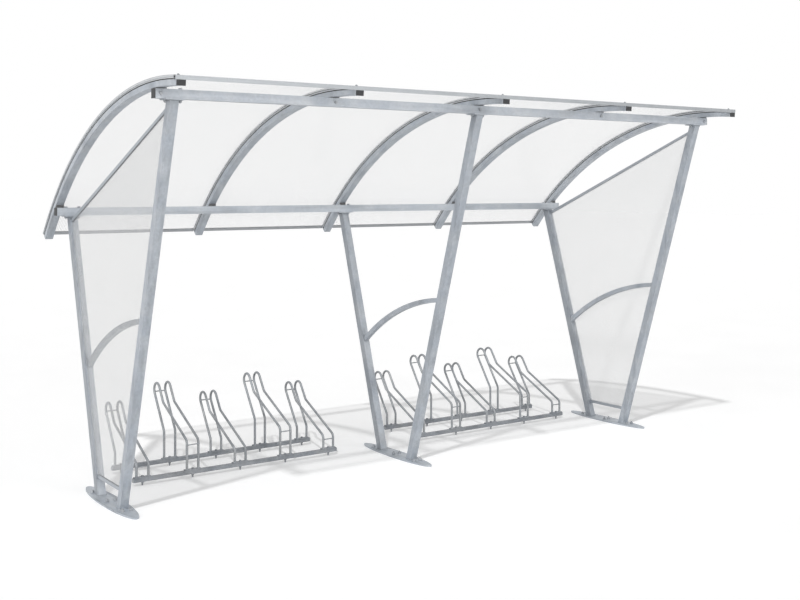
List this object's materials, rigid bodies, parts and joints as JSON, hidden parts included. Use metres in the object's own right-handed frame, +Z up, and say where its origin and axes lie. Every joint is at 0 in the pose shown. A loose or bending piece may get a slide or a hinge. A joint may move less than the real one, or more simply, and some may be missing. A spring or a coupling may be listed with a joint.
{
  "type": "bike shelter",
  "caption": "Free-standing bike shelter: V-shaped tube frames carry a curved glazed roof, with glazed ends and low racks of bent-bar wheel holders.",
  "frame": {"origin": "on the ground under the middle frame, at the centre of its base plate", "axes": "+X along the shelter, to the right as seen from the open front; +Y to the rear; +Z up"},
  "size_m": [4.264, 2.1162, 2.4054],
  "materials": {
    "galvanised_steel": "satin",
    "aluminium_profile": "satin",
    "clear_sheet": "satin",
    "black_plastic": "matte",
    "grey_plastic": "matte",
    "black_rubber": "matte"
  },
  "bodies": {
    "root": {"base_plate_left": "galvanised_steel", "front_post_left": "galvanised_steel", "rear_post_left": "galvanised_steel", "brace_arc_left": "galvanised_steel", "base_plate_middle": "galvanised_steel", "front_post_middle": "galvanised_steel", "rear_post_middle": "galvanised_steel", "brace_arc_middle": "galvanised_steel", "base_plate_right": "galvanised_steel", "front_post_right": "galvanised_steel", "rear_post_right": "galvanised_steel", "brace_arc_right": "galvanised_steel", "front_head_plates": "galvanised_steel", "front_purlin": "galvanised_steel", "rear_head_plates": "galvanised_steel", "rear_purlin": "galvanised_steel", "purlin_end_caps": "black_plastic", "roof_bow_1": "galvanised_steel", "roof_bow_2": "galvanised_steel", "roof_bow_3": "galvanised_steel", "roof_bow_4": "galvanised_steel", "roof_bow_5": "galvanised_steel", "bow_front_caps": "black_plastic", "bow_rear_caps": "grey_plastic", "bow_wedges": "black_rubber", "bow_pads": "black_rubber", "roof_sheet_1": "clear_sheet", "roof_sheet_2": "clear_sheet", "roof_sheet_3": "clear_sheet", "roof_sheet_4": "clear_sheet", "glazing_gaskets": "black_rubber", "glazing_carriers": "aluminium_profile", "glazing_bars": "aluminium_profile", "glazing_end_strips": "aluminium_profile", "roof_front_profile": "aluminium_profile", "roof_rear_profiles": "aluminium_profile", "side_panel_left": "clear_sheet", "side_panel_trims_left": "aluminium_profile", "side_panel_right": "clear_sheet", "side_panel_trims_right": "aluminium_profile", "rack_front_rail_left": "galvanised_steel", "rack_rear_rail_left": "galvanised_steel", "rack_clamps_left": "galvanised_steel", "low_wheel_holders_left": "galvanised_steel", "high_wheel_holders_left": "galvanised_steel", "rack_front_rail_right": "galvanised_steel", "rack_rear_rail_right": "galvanised_steel", "rack_clamps_right": "galvanised_steel", "low_wheel_holders_right": "galvanised_steel", "high_wheel_holders_right": "galvanised_steel"}
  },
  "joints": []
}
